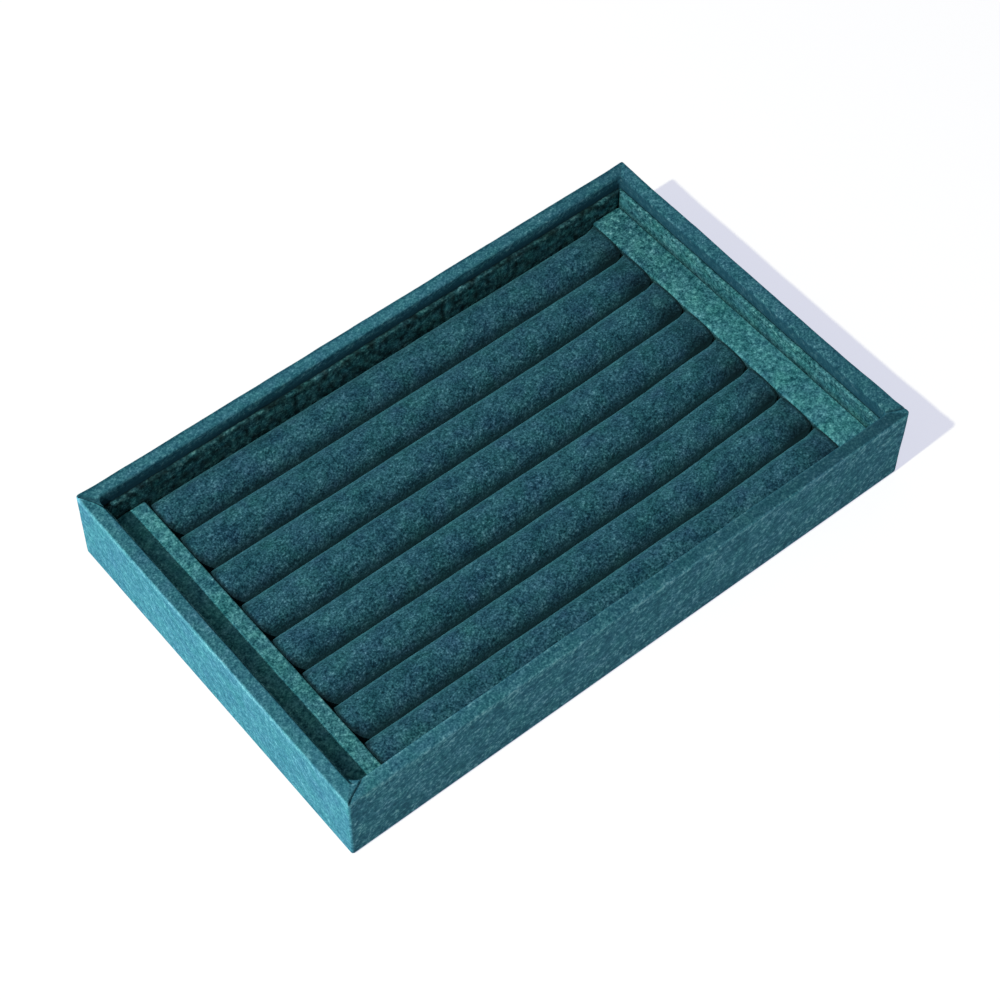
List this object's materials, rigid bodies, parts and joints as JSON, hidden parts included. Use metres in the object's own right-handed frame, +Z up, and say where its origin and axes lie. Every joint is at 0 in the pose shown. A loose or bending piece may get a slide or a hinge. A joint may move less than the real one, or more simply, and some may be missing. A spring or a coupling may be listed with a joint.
{
  "type": "jewelry organizer",
  "caption": "Shallow rectangular velvet display tray with mitred walls, a stepped lining and a lift-out insert of padded rolls between flat end pads.",
  "frame": {"origin": "middle of the underside of the tray", "axes": "+X along the long side, +Y to the back wall, +Z up out of the open top"},
  "size_m": [0.24, 0.15, 0.0325],
  "materials": {
    "velvet": "short velvet pile, blue teal",
    "velvet_inner": "short velvet pile, greener teal",
    "velvet_roll": "short velvet pile, deep teal",
    "fibreboard": "raw fibreboard, hidden",
    "card": "raw card, hidden",
    "foam": "raw foam, hidden"
  },
  "bodies": {
    "tray": {"base_board": "fibreboard", "underside_panel": "velvet_inner", "wall_board_front": "fibreboard", "wall_velvet_front": "velvet", "lining_card_front": "card", "lining_velvet_front": "velvet_inner", "wall_board_right": "fibreboard", "wall_velvet_right": "velvet", "lining_card_right": "card", "lining_velvet_right": "velvet_inner", "wall_board_back": "fibreboard", "wall_velvet_back": "velvet", "lining_card_back": "card", "lining_velvet_back": "velvet_inner", "wall_board_left": "fibreboard", "wall_velvet_left": "velvet", "lining_card_left": "card", "lining_velvet_left": "velvet_inner"},
    "insert": {"insert_board": "card", "end_pad_block_left": "fibreboard", "end_pad_velvet_left": "velvet_inner", "end_pad_block_right": "fibreboard", "end_pad_velvet_right": "velvet_inner", "roll_core_1": "foam", "roll_velvet_1": "velvet_roll", "roll_core_2": "foam", "roll_velvet_2": "velvet_roll", "roll_core_3": "foam", "roll_velvet_3": "velvet_roll", "roll_core_4": "foam", "roll_velvet_4": "velvet_roll", "roll_core_5": "foam", "roll_velvet_5": "velvet_roll", "roll_core_6": "foam", "roll_velvet_6": "velvet_roll", "roll_core_7": "foam", "roll_velvet_7": "velvet_roll", "roll_core_8": "foam", "roll_velvet_8": "velvet_roll"}
  },
  "joints": [
    {"name": "insert_lift", "type": "slide", "parent": "tray", "child": "insert", "axis": [0, 0, 1], "range_m": [0, 0.04]}
  ]
}
